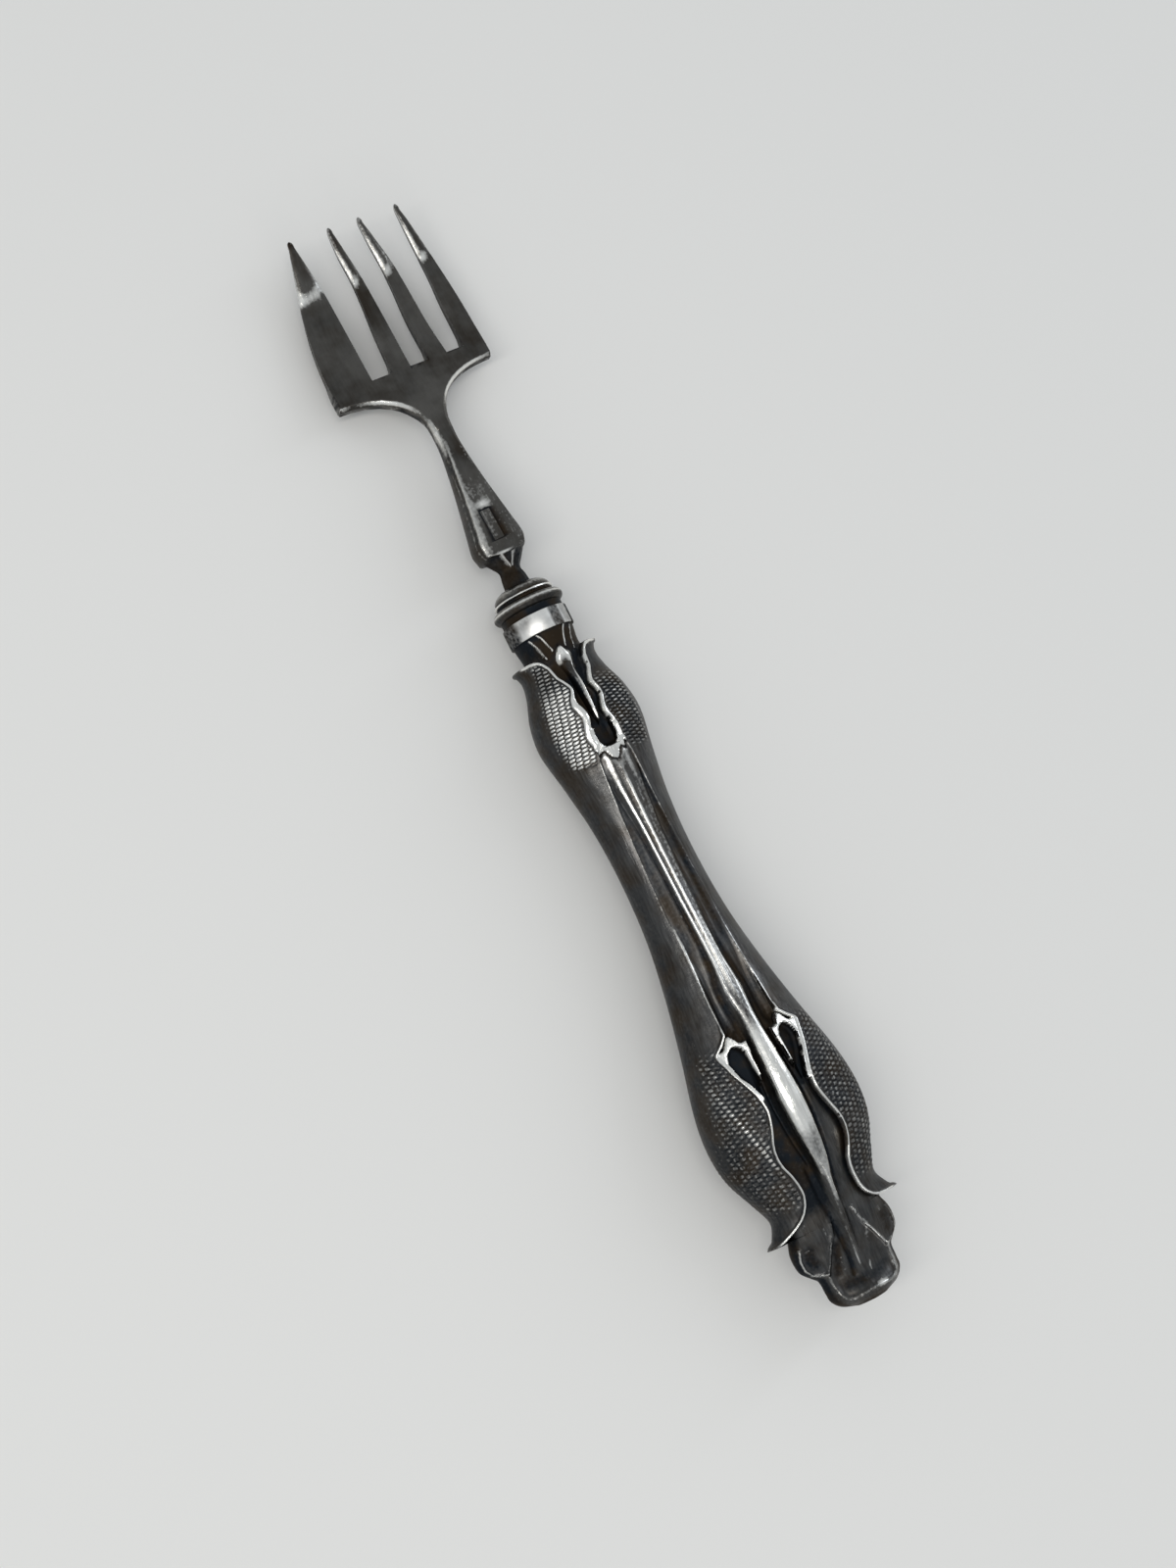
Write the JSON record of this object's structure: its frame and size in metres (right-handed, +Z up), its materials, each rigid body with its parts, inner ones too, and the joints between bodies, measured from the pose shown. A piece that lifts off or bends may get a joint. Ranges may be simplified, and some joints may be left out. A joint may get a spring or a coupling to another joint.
{
  "type": "oyster fork",
  "caption": "Small seafood fork with flat tines, one broad for cutting, a faceted shank, turned bolster, plain ferrule and a hollow, filled handle chased with leaves, grains and a middle rib.",
  "frame": {"origin": "middle of the fork's length and width, on the surface that it lies on", "axes": "+Y from the end of the handle to the points of the tines, +Z up, out of the tines' hollow side; +X to the right seen from above with the tines away"},
  "size_m": [0.0206, 0.145, 0.014],
  "materials": {
    "head_silver": "worn silver plate with fine scratches, darker in the middle of the flat, bright along the bevels",
    "tang_iron": "hidden, forged and square",
    "bolster_silver": "turned and polished, dark in the grooves",
    "ferrule_silver": "mirror polish with fine scratches",
    "chased_silver": "pressed and chased silver, bright on the ridges, brown and blue-black tarnish in the hollows",
    "pitch_filling": "hidden, set pitch and plaster"
  },
  "bodies": {
    "root": {"fork_head": "head_silver", "tang": "tang_iron", "bolster": "bolster_silver", "ferrule": "ferrule_silver", "handle_front_shell": "chased_silver", "handle_back_shell": "chased_silver", "handle_filling": "pitch_filling"}
  },
  "joints": []
}
